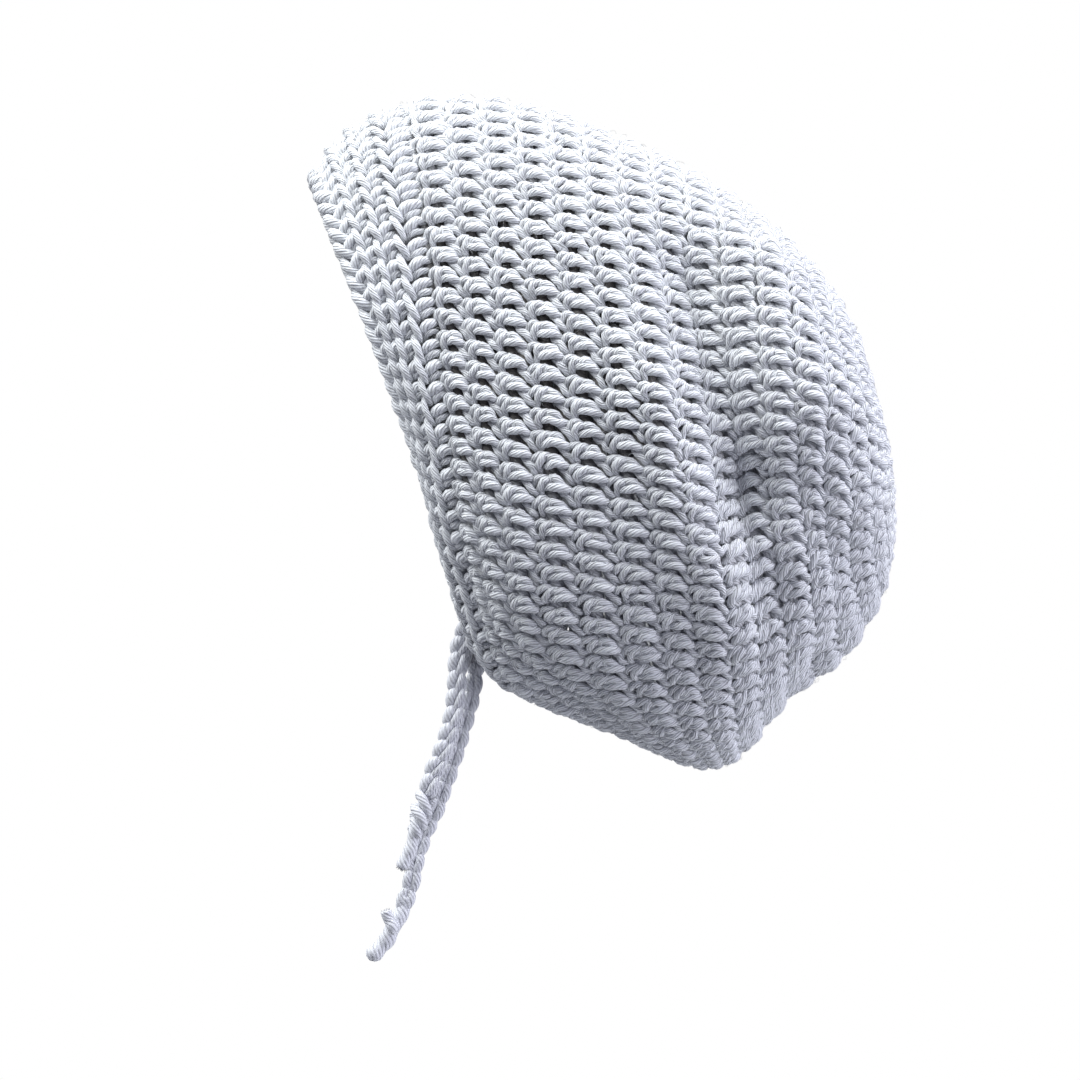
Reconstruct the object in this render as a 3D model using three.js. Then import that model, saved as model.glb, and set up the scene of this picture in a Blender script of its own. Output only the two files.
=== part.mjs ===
// Slouching crocheted tam with a drawstring: a deep bag of knitted rounds, a closer band round its
// opening, and the two chained ends of the drawstring. Millimetres, +Z up. The opening faces -X, the
// bag hangs back along +X, and the wearer's left is -Y. The origin is where the top of the head meets
// the inside of the bag.
import * as THREE from "three";
import { mergeVertices } from "three/addons/utils/BufferGeometryUtils.js";

// Driving dimensions
const bagLength = 327.6; // front tip of the rim to the back of the slouch
const bagDrop = 375.2; // highest point to the bottom of the slouch
const bagWidth = 240; // across the widest round
const crownWall = 7; // thickness of the crocheted fabric
const bandWall = 6; // thickness of the band's closer fabric
const seatFromFront = 84; // front tip to the point over the top of the head
const seatUnderTop = 0.8; // highest point of the bag to the fabric over the head
const fabricLength = 365; // along the fabric, from the band's seam to the crown's middle
const foldDepth = 17; // depth of the deepest fold
const foldReach = 21; // half width of a fold, across it
const cordThickness = 9; // the chained drawstring
const knotThickness = 15; // across the knot
const knotLength = 23; // along the cord
const stubThickness = 6; // the short yarn tail
const touchGap = 0.3; // clearance between neighbouring pieces
const mergeWithin = 1e-3; // points nearer than this are one point

// Facets
const facetsRound = 56; // round the bag
const crownRings = 26;
const bandRings = 4;
const cordFacets = 8;
const cordStep = 2; // cord diameters between two rings of facets
const knotFacets = 12;
const knotRings = 8;

// Names the columns of a table.
function table(columns, rows) {
  return rows.map((row) => Object.fromEntries(columns.map((column, i) => [column, row[i]])));
}

// Places on the bag are given by a reach and an angle. The reach is 0 at the seam between band and
// crown and 1 at the crown's middle, and below 0 on the band. The angle is 0 at the top of a round.
const bandReach = 0.092;

// One row per section. Along and down place the upper and lower ends of a round, as shares of
// bagLength and bagDrop. Half is its half width as a share of bagWidth. Full widens its lower half.
// Bow carries its lower side forward, as a share of bagLength.
const sections = table(
  ["reach", "topAlong", "topDown", "baseAlong", "baseDown", "half", "full", "bow"],
  [
    [-bandReach, 0.005, 0.109, 0.516, 0.852, 0.338, -0.34, 0.226],
    [0, 0.072, 0.045, 0.533, 0.885, 0.383, -0.08, 0.278],
    [0.097, 0.185, 0.004, 0.559, 0.924, 0.425, 0.1, 0.29],
    [0.194, 0.303, 0.001, 0.59, 0.961, 0.463, 0.15, 0.244],
    [0.282, 0.409, 0.018, 0.632, 0.99, 0.487, 0.12, 0.159],
    [0.369, 0.513, 0.052, 0.68, 1, 0.5, 0.06, 0.073],
    [0.466, 0.627, 0.097, 0.738, 0.981, 0.5, 0, 0.015],
    [0.563, 0.735, 0.154, 0.817, 0.899, 0.483, 0, 0],
    [0.66, 0.832, 0.225, 0.911, 0.837, 0.442, 0, 0],
    [0.757, 0.915, 0.318, 0.973, 0.751, 0.35, 0, 0],
    [0.854, 0.961, 0.434, 0.993, 0.679, 0.217, 0, 0],
    [0.937, 0.983, 0.512, 0.997, 0.631, 0.094, 0, 0],
    [1, 0.995, 0.575, 0.995, 0.575, 0, 0, 0],
  ],
);
const bowRise = 1.2; // how fast a round's bow grows from its top
const bowEnd = 12; // how suddenly it ends at its bottom

// One row per fold. A fold runs straight from one place on the bag to another, with angles in
// degrees. Depth and width are shares of foldDepth and foldReach, and a depth below 0 is a ridge. The
// wearer's right has its own, plainer folds.
const folds = table(
  ["side", "fromReach", "fromAngle", "toReach", "toAngle", "depth", "width"],
  [
    ["left", 0.466, 54, 0.519, 98, 1, 1],
    ["left", 0.519, 98, 0.539, 124, 0.62, 0.8],
    ["left", 0.383, 80, 0.495, 128, -0.42, 0.85],
    ["left", 0.592, 42, 0.66, 74, -0.5, 1.15],
    ["left", 0.626, 102, 0.689, 134, 0.5, 1.05],
    ["left", 0.078, 122, 0.223, 146, 0.45, 1.25],
    ["left", 0.602, 166, 0.66, 152, 0.35, 0.8],
    ["right", 0.447, 60, 0.544, 112, 0.75, 1.2],
    ["right", 0.359, 84, 0.456, 126, -0.35, 1],
    ["right", 0.612, 96, 0.68, 130, 0.4, 1.1],
  ],
);
const foldFade = 3; // how soon folds reach their full depth away from the top and bottom of the bag

const exitStretch = 0.6; // cord diameters that a cord runs straight out of the band
const knotFullness = 0.6; // below 1 makes the knot blunter at its ends

// Where the drawstring's ends leave the band.
const frontExit = { reach: -0.044, angle: 130 };
const backExit = { reach: -0.058, angle: 137 };

// Each cord's route, chosen by hand in millimetres from the place where the front end leaves.
const frontRoute = [
  [-7.3, 0, -8.4],
  [-8.4, -2, -18.5],
  [-9.5, -3.5, -36.4],
  [-14, -4.5, -57.7],
  [-21.3, -5, -75.6],
  [-24.6, -5.2, -86.8],
];
const backRoute = [
  [2.8, 10.5, -21.9],
  [1.7, 9, -32],
  [-1.7, 8, -44.3],
  [-6.7, 7.5, -61.6],
  [-13.4, 7.3, -81.2],
  [-19.6, 7.4, -96.9],
  [-25.7, 7.4, -110.4],
  [-30.2, 7, -123.2],
  [-32.5, 6.6, -135.6],
  [-36.9, 6, -148.4],
  [-43.7, 5.2, -162.4],
  [-50.4, 4.6, -172.5],
  [-56.5, 4, -179.2],
];
const stubRoute = [
  [-43.7, -2.6, -161.9],
  [-45.3, -2.8, -156.3],
  [-47.6, -3.2, -151.2],
];
// The cut end below the knot, from the knot's lower end.
const tailRoute = [
  [0, 0, 0],
  [-3.3, 0.1, -10.1],
  [-7.3, 0.4, -20.2],
];

// Materials, from the yarn
const yarn = new THREE.MeshStandardMaterial({ color: 0xe9edef, roughness: 0.78, metalness: 0 });
const bandYarn = new THREE.MeshStandardMaterial({ color: 0xeef1f2, roughness: 0.78, metalness: 0 });
const cordYarn = new THREE.MeshStandardMaterial({ color: 0xe2e3ea, roughness: 0.74, metalness: 0 });

// A smooth value of one column between the sections' rows, by cubic Hermite pieces.
function between(column, reach) {
  const last = sections.length - 1;
  const slopeTo = (i) => {
    const rise = sections[i + 1][column] - sections[i][column];
    return rise / (sections[i + 1].reach - sections[i].reach);
  };
  const slopeAt = (i) => {
    if (i === 0) return slopeTo(0);
    if (i === last) return slopeTo(last - 1);
    const before = sections[i].reach - sections[i - 1].reach;
    const after = sections[i + 1].reach - sections[i].reach;
    return (slopeTo(i - 1) * after + slopeTo(i) * before) / (before + after);
  };
  let i = 0;
  while (i < last - 1 && reach > sections[i + 1].reach) i += 1;
  const span = sections[i + 1].reach - sections[i].reach;
  const t = (reach - sections[i].reach) / span;
  const here = 2 * t ** 3 - 3 * t ** 2 + 1;
  const leave = t ** 3 - 2 * t ** 2 + t;
  const there = 3 * t ** 2 - 2 * t ** 3;
  const arrive = t ** 3 - t ** 2;
  const values = here * sections[i][column] + there * sections[i + 1][column];
  return values + span * (leave * slopeAt(i) + arrive * slopeAt(i + 1));
}

// The bag's smooth outer surface without folds. The angle is 0 at the top of a round, a quarter turn
// on the wearer's left and half a turn at the bottom.
function plainSurface(angle, reach) {
  const frontX = -seatFromFront;
  const highestZ = crownWall + seatUnderTop;
  const topX = frontX + between("topAlong", reach) * bagLength;
  const topZ = highestZ - between("topDown", reach) * bagDrop;
  const spanX = frontX + between("baseAlong", reach) * bagLength - topX;
  const spanZ = highestZ - between("baseDown", reach) * bagDrop - topZ;
  const span = Math.hypot(spanX, spanZ) || 1;
  const share = (1 - Math.cos(angle)) / 2;
  const bow = between("bow", reach) * bagLength * share ** bowRise * (1 - share ** bowEnd);
  const half = between("half", reach) * bagWidth * (1 + between("full", reach) * (2 * share - 1));
  return new THREE.Vector3(
    topX + spanX * share + (spanZ / span) * bow,
    -half * Math.sin(angle),
    topZ + spanZ * share - (spanX / span) * bow,
  );
}

// Directions on the plain surface at one place: along the bag towards its middle, and outward.
function directions(angle, reach) {
  const step = 0.001;
  const turn = 0.02;
  const near = Math.min(reach + step, 1 - step);
  const along = plainSurface(angle, near).sub(plainSurface(angle, near - 2 * step)).normalize();
  const around = plainSurface(angle + turn, near).sub(plainSurface(angle - turn, near)).normalize();
  return { along, outward: new THREE.Vector3().crossVectors(around, along).normalize() };
}

// How far the folds press the surface in at one place.
function foldAt(angle, reach) {
  const turn = THREE.MathUtils.euclideanModulo(angle, 2 * Math.PI);
  const side = turn <= Math.PI ? "left" : "right";
  const degrees = THREE.MathUtils.radToDeg(side === "left" ? turn : 2 * Math.PI - turn);
  const perDegree = (Math.PI * bagWidth) / 360;
  const place = (atReach, atAngle) => new THREE.Vector2(atReach * fabricLength, atAngle * perDegree);
  const here = place(reach, degrees);
  let pressed = 0;
  for (const fold of folds.filter((row) => row.side === side)) {
    const start = place(fold.fromReach, fold.fromAngle);
    const run = place(fold.toReach, fold.toAngle).sub(start);
    const share = THREE.MathUtils.clamp(here.clone().sub(start).dot(run) / run.lengthSq(), 0, 1);
    const away = here.distanceTo(start.addScaledVector(run, share)) / (fold.width * foldReach);
    pressed += fold.depth * foldDepth * Math.exp(-(away ** 2));
  }
  return pressed * Math.min(1, Math.abs(Math.sin(turn)) * foldFade);
}

// A point of the bag, set back below its outer surface and moved forward along the fabric.
function onBag(angle, reach, below, forward = 0) {
  const { along, outward } = directions(angle, reach);
  const point = plainSurface(angle, reach);
  point.addScaledVector(outward, -below - foldAt(angle, reach));
  return point.addScaledVector(along, forward);
}

// A closed body from rings of points, each ring joined to the next and the last to the first. The
// shorter diagonal splits each four-sided facet.
function ringBody(rings) {
  const points = rings.flat();
  const index = [];
  const around = rings[0].length;
  rings.forEach((ring, i) => {
    const next = (i + 1) % rings.length;
    for (let j = 0; j < around; j += 1) {
      const k = (j + 1) % around;
      const [a, b, c, d] = [i * around + j, i * around + k, next * around + k, next * around + j];
      const shorter = points[a].distanceTo(points[c]) <= points[b].distanceTo(points[d]);
      index.push(...(shorter ? [a, b, c, a, c, d] : [a, b, d, b, c, d]));
    }
  });
  const body = new THREE.BufferGeometry();
  const numbers = points.flatMap((point) => point.toArray());
  body.setAttribute("position", new THREE.Float32BufferAttribute(numbers, 3));
  body.setIndex(index);
  return withoutFlatTriangles(mergeVertices(body, mergeWithin));
}

// Triangles that merging drew out to a line are left out.
function withoutFlatTriangles(body) {
  const kept = [];
  const index = body.index.array;
  for (let i = 0; i < index.length; i += 3) {
    const [a, b, c] = [index[i], index[i + 1], index[i + 2]];
    if (a !== b && b !== c && c !== a) kept.push(a, b, c);
  }
  body.setIndex(kept);
  body.computeVertexNormals();
  return body;
}

function ringOfPoints(reach, below, forward) {
  const angles = Array.from({ length: facetsRound }, (_, j) => (2 * Math.PI * j) / facetsRound);
  return angles.map((angle) => onBag(angle, reach, below, forward));
}

// The crown: an outer skin from the seam to the middle, and an inner one back to the seam.
function crownGeometry() {
  const reaches = Array.from({ length: crownRings }, (_, i) => i / crownRings);
  const forward = (reach) => (reach === 0 ? touchGap : 0);
  const outer = reaches.map((reach) => ringOfPoints(reach, 0, forward(reach)));
  const inner = reaches.map((reach) => ringOfPoints(reach, crownWall, forward(reach)));
  const middle = (below) => Array(facetsRound).fill(onBag(Math.PI / 2, 1, below));
  return ringBody([...outer, middle(0), middle(crownWall), ...inner.reverse()]);
}

// The band: a ring of fabric from the opening's edge to the seam, centred on the crown's wall.
function bandGeometry() {
  const reaches = Array.from({ length: bandRings + 1 }, (_, i) => bandReach * (i / bandRings - 1));
  const inset = (crownWall - bandWall) / 2;
  const outer = reaches.map((reach) => ringOfPoints(reach, inset));
  const inner = reaches.map((reach) => ringOfPoints(reach, inset + bandWall));
  return ringBody([...outer, ...inner.reverse()]);
}

// The point just clear of the band where a cord leaves it, and the next point straight out from there.
function exitPoints({ reach, angle }) {
  const turn = THREE.MathUtils.degToRad(angle);
  const clear = (crownWall - bandWall) / 2 - touchGap;
  return [onBag(turn, reach, clear), onBag(turn, reach, clear - cordThickness * exitStretch)];
}

function routeFrom(start, route) {
  return route.map(([x, y, z]) => new THREE.Vector3(x, y, z).add(start));
}

// A cord as a tube through its points.
function cordGeometry(points, thickness) {
  const path = new THREE.CatmullRomCurve3(points, false, "centripetal");
  const outline = new THREE.Shape();
  for (let i = 0; i < cordFacets; i += 1) {
    const turn = (2 * Math.PI * i) / cordFacets;
    const x = (thickness / 2) * Math.cos(turn);
    const y = (thickness / 2) * Math.sin(turn);
    if (i === 0) outline.moveTo(x, y);
    else outline.lineTo(x, y);
  }
  const steps = Math.max(2, Math.ceil(path.getLength() / (thickness * cordStep)));
  const options = { steps, curveSegments: 1, bevelEnabled: false, extrudePath: path };
  return new THREE.ExtrudeGeometry(outline, options);
}

// The knot: a round bead drawn out along the cord, between two points on it.
function knotGeometry(above, below) {
  const half = above.distanceTo(below) / 2 - touchGap;
  const profile = [];
  for (let i = 0; i <= knotRings; i += 1) {
    const share = i / knotRings;
    const radius = (knotThickness / 2) * Math.max(0, Math.sin(Math.PI * share)) ** knotFullness;
    profile.push(new THREE.Vector2(i % knotRings === 0 ? 0 : radius, half * (2 * share - 1)));
  }
  const knot = new THREE.LatheGeometry(profile, knotFacets);
  const axis = above.clone().sub(below).normalize();
  knot.applyQuaternion(new THREE.Quaternion().setFromUnitVectors(new THREE.Vector3(0, 1, 0), axis));
  const middle = above.clone().lerp(below, 0.5);
  return knot.translate(middle.x, middle.y, middle.z);
}

function addPiece(group, name, geometry, material) {
  const piece = new THREE.Mesh(geometry, material);
  piece.name = name;
  group.add(piece);
}

const tam = new THREE.Group();
addPiece(tam, "crown", crownGeometry(), yarn);
addPiece(tam, "rim_band", bandGeometry(), bandYarn);

const frontStart = exitPoints(frontExit);
const frontPoints = [...frontStart, ...routeFrom(frontStart[0], frontRoute)];
const [nextToKnot, knotTop] = frontPoints.slice(-2);
const knotBottom = knotTop.clone().addScaledVector(knotTop.clone().sub(nextToKnot).normalize(), knotLength);
const tailPoints = routeFrom(knotBottom, tailRoute);
addPiece(tam, "drawstring_front", cordGeometry(frontPoints, cordThickness), cordYarn);
addPiece(tam, "drawstring_knot", knotGeometry(knotTop, knotBottom), cordYarn);
addPiece(tam, "drawstring_tail", cordGeometry(tailPoints, cordThickness), cordYarn);

const backPoints = [...exitPoints(backExit), ...routeFrom(frontStart[0], backRoute)];
const stubPoints = routeFrom(frontStart[0], stubRoute);
addPiece(tam, "drawstring_back", cordGeometry(backPoints, cordThickness), cordYarn);
addPiece(tam, "drawstring_stub", cordGeometry(stubPoints, stubThickness), cordYarn);

export default tam;
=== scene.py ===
"""A slouching crocheted tam in white yarn, held up as when it is worn, with its drawstring's two ends.

Every stitch is made of yarn strands laid on the bag's own surface: rounds of open stitches for the
bag, closer rounds with raised strand lines for the band, and chained loops for the drawstring.
Lengths are in metres.
"""

import logging
import math
from dataclasses import dataclass, field
from enum import Enum

import bpy
import numpy as np
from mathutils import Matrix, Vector

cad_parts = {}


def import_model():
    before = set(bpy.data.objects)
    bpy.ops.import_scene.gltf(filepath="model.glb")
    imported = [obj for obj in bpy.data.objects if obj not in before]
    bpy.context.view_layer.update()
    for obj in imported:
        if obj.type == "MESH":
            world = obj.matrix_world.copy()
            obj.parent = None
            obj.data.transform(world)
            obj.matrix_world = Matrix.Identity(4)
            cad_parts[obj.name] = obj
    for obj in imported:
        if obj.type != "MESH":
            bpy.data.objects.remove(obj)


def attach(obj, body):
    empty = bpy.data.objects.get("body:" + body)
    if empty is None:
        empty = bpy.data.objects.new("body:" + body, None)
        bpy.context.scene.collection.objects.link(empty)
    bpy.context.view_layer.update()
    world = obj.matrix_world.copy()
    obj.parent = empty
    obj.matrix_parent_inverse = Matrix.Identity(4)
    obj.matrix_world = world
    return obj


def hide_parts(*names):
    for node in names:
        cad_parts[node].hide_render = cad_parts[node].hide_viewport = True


Array = np.ndarray
Object = bpy.types.Object
Material = bpy.types.Material
Pair = tuple[float, float]
Triple = tuple[float, float, float]

LOG = logging.getLogger("tam")
MM = 0.001
PLUMPNESS = 0.7  # how soon a strand is as thick as at its middle, less is sooner


class Slot(Enum):
    """The record's material slots."""

    CROWN = "crown_yarn"
    BAND = "band_yarn"
    CORD = "cord_yarn"


@dataclass(frozen=True)
class BagForm:
    """The bag's surface, by the same sections and folds as its solid wall.

    A place on it is a round and a turn. The round is counted from the seam between band and bag
    towards the crown's middle. The turn runs once about a round by its length, from the top down the
    wearer's left side.
    """

    length: float = 0.3276
    drop: float = 0.3752  # height from the top to the lowest point
    width: float = 0.24
    seat_from_front: float = 0.084  # how far the middle of the head lies behind the front
    seat_under_top: float = 0.0008  # room between the head and the crown
    wall: float = 0.007
    fabric_length: float = 0.365
    fold_depth: float = 0.017
    fold_reach: float = 0.021  # how far a fold reaches to each side
    fold_fade: float = 3.0  # how fast the folds end towards the top and the bottom
    band_reach: float = 0.092  # how far the band reaches past the seam, as a share of the fabric
    bow_rise: float = 1.2  # how fast a round bows out from its top
    bow_end: int = 12  # how late it comes back at its bottom
    round_height: float = 0.01772
    turns: int = 720  # points of the fine grid about a round
    rows: int = 460  # rows of the fine grid
    columns: tuple[str, ...] = (
        "reach", "top_along", "top_down", "base_along", "base_down", "half", "full", "bow",
    )
    # sections along the fabric, in shares of the length, drop and width
    sections: tuple[tuple[float, ...], ...] = (
        (-0.092, 0.005, 0.109, 0.516, 0.852, 0.338, -0.34, 0.226),
        (0, 0.072, 0.045, 0.533, 0.885, 0.383, -0.08, 0.278),
        (0.097, 0.185, 0.004, 0.559, 0.924, 0.425, 0.1, 0.29),
        (0.194, 0.303, 0.001, 0.59, 0.961, 0.463, 0.15, 0.244),
        (0.282, 0.409, 0.018, 0.632, 0.99, 0.487, 0.12, 0.159),
        (0.369, 0.513, 0.052, 0.68, 1, 0.5, 0.06, 0.073),
        (0.466, 0.627, 0.097, 0.738, 0.981, 0.5, 0, 0.015),
        (0.563, 0.735, 0.154, 0.817, 0.899, 0.483, 0, 0),
        (0.66, 0.832, 0.225, 0.911, 0.837, 0.442, 0, 0),
        (0.757, 0.915, 0.318, 0.973, 0.751, 0.35, 0, 0),
        (0.854, 0.961, 0.434, 0.993, 0.679, 0.217, 0, 0),
        (0.937, 0.983, 0.512, 0.997, 0.631, 0.094, 0, 0),
        (1, 0.995, 0.575, 0.995, 0.575, 0, 0, 0),
    )
    fold_columns: tuple[str, ...] = (
        "side", "from_reach", "from_angle", "to_reach", "to_angle", "depth", "width",
    )
    # the folds, by side, place and angle of both ends, depth and width
    folds: tuple[tuple[float, ...], ...] = (
        (-1, 0.466, 54, 0.519, 98, 1, 1),
        (-1, 0.519, 98, 0.539, 124, 0.62, 0.8),
        (-1, 0.383, 80, 0.495, 128, -0.42, 0.85),
        (-1, 0.592, 42, 0.66, 74, -0.5, 1.15),
        (-1, 0.626, 102, 0.689, 134, 0.5, 1.05),
        (-1, 0.078, 122, 0.223, 146, 0.45, 1.25),
        (-1, 0.602, 166, 0.66, 152, 0.35, 0.8),
        (1, 0.447, 60, 0.544, 112, 0.75, 1.2),
        (1, 0.359, 84, 0.456, 126, -0.35, 1),
        (1, 0.612, 96, 0.68, 130, 0.4, 1.1),
    )

    @property
    def rounds(self) -> float:
        """Rounds between the seam and the crown's middle."""
        return self.fabric_length / self.round_height

    def between(self, column: str, reach: Array) -> Array:
        """One column's smooth value between the sections' rows.

        Args:
            column: The column's name.
            reach: Places along the fabric, 0 at the seam and 1 at the crown's middle.

        Returns:
            The column's value at each place.
        """
        table = np.array(self.sections, float)
        x = table[:, 0]
        y = table[:, self.columns.index(column)]
        rise = np.diff(y) / np.diff(x)
        before, after = np.diff(x)[:-1], np.diff(x)[1:]
        inner = (rise[:-1] * after + rise[1:] * before) / (before + after)
        slope = np.concatenate([rise[:1], inner, rise[-1:]])
        i = np.clip(np.searchsorted(x, reach, side="right") - 1, 0, len(x) - 2)
        span = x[i + 1] - x[i]
        t = (reach - x[i]) / span
        values = (2 * t**3 - 3 * t**2 + 1) * y[i] + (3 * t**2 - 2 * t**3) * y[i + 1]
        return values + span * ((t**3 - 2 * t**2 + t) * slope[i] + (t**3 - t**2) * slope[i + 1])

    def plain(self, angle: Array, reach: Array) -> Array:
        """The outer surface without folds.

        Args:
            angle: Angle about a round, 0 at its top and a quarter turn on the wearer's left.
            reach: Place along the fabric.

        Returns:
            Points, with the three coordinates on the last axis.
        """
        front = -self.seat_from_front
        highest = self.wall + self.seat_under_top
        top_x = front + self.between("top_along", reach) * self.length
        top_z = highest - self.between("top_down", reach) * self.drop
        span_x = front + self.between("base_along", reach) * self.length - top_x
        span_z = highest - self.between("base_down", reach) * self.drop - top_z
        span = np.maximum(np.hypot(span_x, span_z), 1e-9)
        share = (1 - np.cos(angle)) / 2
        bow = self.between("bow", reach) * self.length
        bow = bow * share**self.bow_rise * (1 - share**self.bow_end)
        full = 1 + self.between("full", reach) * (2 * share - 1)
        half = self.between("half", reach) * self.width * full
        x = top_x + span_x * share + (span_z / span) * bow
        z = top_z + span_z * share - (span_x / span) * bow
        return np.stack([x, -half * np.sin(angle), z], -1)

    def pressed(self, angle: Array, reach: Array) -> Array:
        """How far the folds press the surface in.

        Args:
            angle: Angle about a round.
            reach: Place along the fabric.

        Returns:
            The depth at each place, below 0 on a ridge.
        """
        turned = np.mod(angle, 2 * math.pi)
        side = np.where(turned <= math.pi, -1, 1)
        degrees = np.degrees(np.where(side < 0, turned, 2 * math.pi - turned))
        per_degree = math.pi * self.width / 360
        here = np.stack([reach * self.fabric_length, degrees * per_degree], -1)
        depth = np.zeros_like(reach)
        for row in self.folds:
            fold = dict(zip(self.fold_columns, row))
            start = np.array([fold["from_reach"] * self.fabric_length, fold["from_angle"] * per_degree])
            end = np.array([fold["to_reach"] * self.fabric_length, fold["to_angle"] * per_degree])
            run = end - start
            share = np.clip((here - start) @ run / (run @ run), 0, 1)
            away = np.linalg.norm(here - start - share[..., None] * run, axis=-1)
            away = away / (fold["width"] * self.fold_reach)
            pressed = fold["depth"] * self.fold_depth * np.exp(-(away**2))
            depth += np.where(side == fold["side"], pressed, 0)
        return depth * np.minimum(1, np.abs(np.sin(turned)) * self.fold_fade)

    def folded(self, angle: Array, reach: Array, below: float) -> Array:
        """Points of the folded surface, set back below the outer one.

        Args:
            angle: Angle about a round.
            reach: Place along the fabric.
            below: How far the points lie under the outer surface.

        Returns:
            Points, with the three coordinates on the last axis.
        """
        step, turn = 0.001, 0.02
        near = np.minimum(reach + step, 1 - step)
        along = self.plain(angle, near) - self.plain(angle, near - 2 * step)
        around = self.plain(angle + turn, near) - self.plain(angle - turn, near)
        outward = unit(np.cross(around, along))
        return self.plain(angle, reach) - outward * (below + self.pressed(angle, reach))[..., None]


def unit(vectors: Array) -> Array:
    """Vectors of length 1 in the same directions."""
    return vectors / np.maximum(np.linalg.norm(vectors, axis=-1, keepdims=True), 1e-12)


@dataclass(frozen=True)
class OpenPart:
    """The part of the bag where the stitches are drawn open and their deep yarn gets the most painted
    shade, over both sides next to the band.
    """

    rounds: Pair = (-2.5, 10.5)  # rounds where it starts and ends
    round_fades: Pair = (4.0, 3.5)  # rounds over which it fades at both
    sides: Pair = (0.06, 0.3)  # shares of a turn from the top where it starts and ends
    side_fades: Pair = (0.06, 0.07)  # shares of a turn over which it fades at both

    def between(self, at: Array, ends: Pair,
                fades: Pair) -> Array:
        """1 between two ends and 0 outside, fading at both."""
        return np.clip((at - ends[0]) / fades[0], 0, 1) * np.clip((ends[1] - at) / fades[1], 0, 1)

    def share(self, rounds: Array, turns: Array) -> Array:
        """How far the stitches are drawn open.

        Args:
            rounds: Rounds, counted from the seam.
            turns: Shares of a turn.

        Returns:
            1 where the holes are widest and 0 where they close.
        """
        side = np.minimum(np.mod(turns, 1), 1 - np.mod(turns, 1))
        along = self.between(rounds, self.rounds, self.round_fades)
        return along * self.between(side, self.sides, self.side_fades)


class Fabric:
    """The middle of the bag's wall as a fine grid of points by round and turn."""

    def __init__(self, form: BagForm) -> None:
        """Works the grid out.

        Args:
            form: The bag's form.
        """
        self.form = form
        self.first, self.last = -form.band_reach, 1 - 1e-4
        self.reach = reach = np.linspace(self.first, self.last, form.rows)
        angle = np.linspace(0, 2 * math.pi, 4 * form.turns + 1)
        fine_angle, fine_reach = np.meshgrid(angle, reach)
        fine = form.folded(fine_angle, fine_reach, form.wall / 2)
        turn = np.linspace(0, 1, form.turns + 1)
        self.girth = np.zeros(form.rows)
        grid = np.zeros((form.rows, form.turns + 1, 3))
        for i in range(form.rows):
            steps = np.linalg.norm(np.diff(fine[i], axis=0), axis=1)
            walked = np.concatenate([[0], np.cumsum(steps)])
            self.girth[i] = walked[-1]
            for k in range(3):
                grid[i, :, k] = np.interp(turn * walked[-1], walked, fine[i, :, k])
        self.points = grid
        along = np.gradient(grid, axis=0)
        wrapped = np.concatenate([grid[:, -2:-1], grid, grid[:, 1:2]], axis=1)
        around = (wrapped[:, 2:] - wrapped[:, :-2]) / 2
        self.outward = unit(np.cross(around, along))

    def _mixed(self, values: Array, rounds: Array, turns: Array) -> Array:
        """Values of a grid between its points.

        Args:
            values: A grid's values.
            rounds: Rounds, counted from the seam.
            turns: Shares of a turn.

        Returns:
            The grid's values there.
        """
        reach = rounds / self.form.rounds
        row = (reach - self.first) / (self.last - self.first) * (self.form.rows - 1)
        row = np.minimum(row, self.form.rows - 1.001)
        column = np.mod(turns, 1) * self.form.turns
        i, j = np.maximum(row.astype(int), 0), np.minimum(column.astype(int), self.form.turns - 1)
        p, q = (row - i)[..., None], (column - j)[..., None]
        low = values[i, j] * (1 - q) + values[i, j + 1] * q
        high = values[i + 1, j] * (1 - q) + values[i + 1, j + 1] * q
        return low * (1 - p) + high * p

    def place(self, rounds: Array, turns: Array, lift: Array) -> Array:
        """Points at a height over the middle of the wall.

        Args:
            rounds: Rounds, counted from the seam.
            turns: Shares of a turn.
            lift: Heights.

        Returns:
            Points, with the three coordinates on the last axis.
        """
        outward = unit(self._mixed(self.outward, rounds, turns))
        return self._mixed(self.points, rounds, turns) + outward * lift[..., None]

    def direction(self, rounds: Array, turns: Array) -> Array:
        """The outward direction at places of the fabric."""
        return unit(self._mixed(self.outward, rounds, turns))

    def girth_at(self, round_: float) -> float:
        """The length once about a round."""
        return float(np.interp(round_ / self.form.rounds, self.reach, self.girth))


def dress(piece: Object, material: Material, slot: Slot,
          *nodes: str) -> Object:
    """Gives a piece its finish, hangs it under the root and hides the nodes that it takes the place of.

    Args:
        piece: The piece.
        material: The yarn's finish.
        slot: The record's slot; not used.
        nodes: The nodes that it takes the place of.

    Returns:
        The piece.
    """
    piece.data.materials.append(material)
    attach(piece, "root")
    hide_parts(*nodes)
    triangles = len(piece.data.loops) - 2 * len(piece.data.polygons)
    LOG.info("%s: %d triangles", piece.name, triangles)
    return piece


def smooth_basis(count: int, samples: int) -> Array:
    """Weights that draw a smooth line through points.

    Args:
        count: How many points the line goes through.
        samples: How many places along it are wanted.

    Returns:
        One row of weights for each place, each with one weight for a point.
    """
    eye = np.eye(count)
    padded = np.vstack([2 * eye[0] - eye[1], eye, 2 * eye[-1] - eye[-2]])
    at = np.linspace(0, count - 1, samples)
    i = np.minimum(at.astype(int), count - 2)
    t = (at - i)[:, None]
    a, b, c, d = padded[i], padded[i + 1], padded[i + 2], padded[i + 3]
    return b + 0.5 * t * (c - a + t * (2 * a - 5 * b + 4 * c - d + t * (3 * (b - c) + d - a)))


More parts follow.
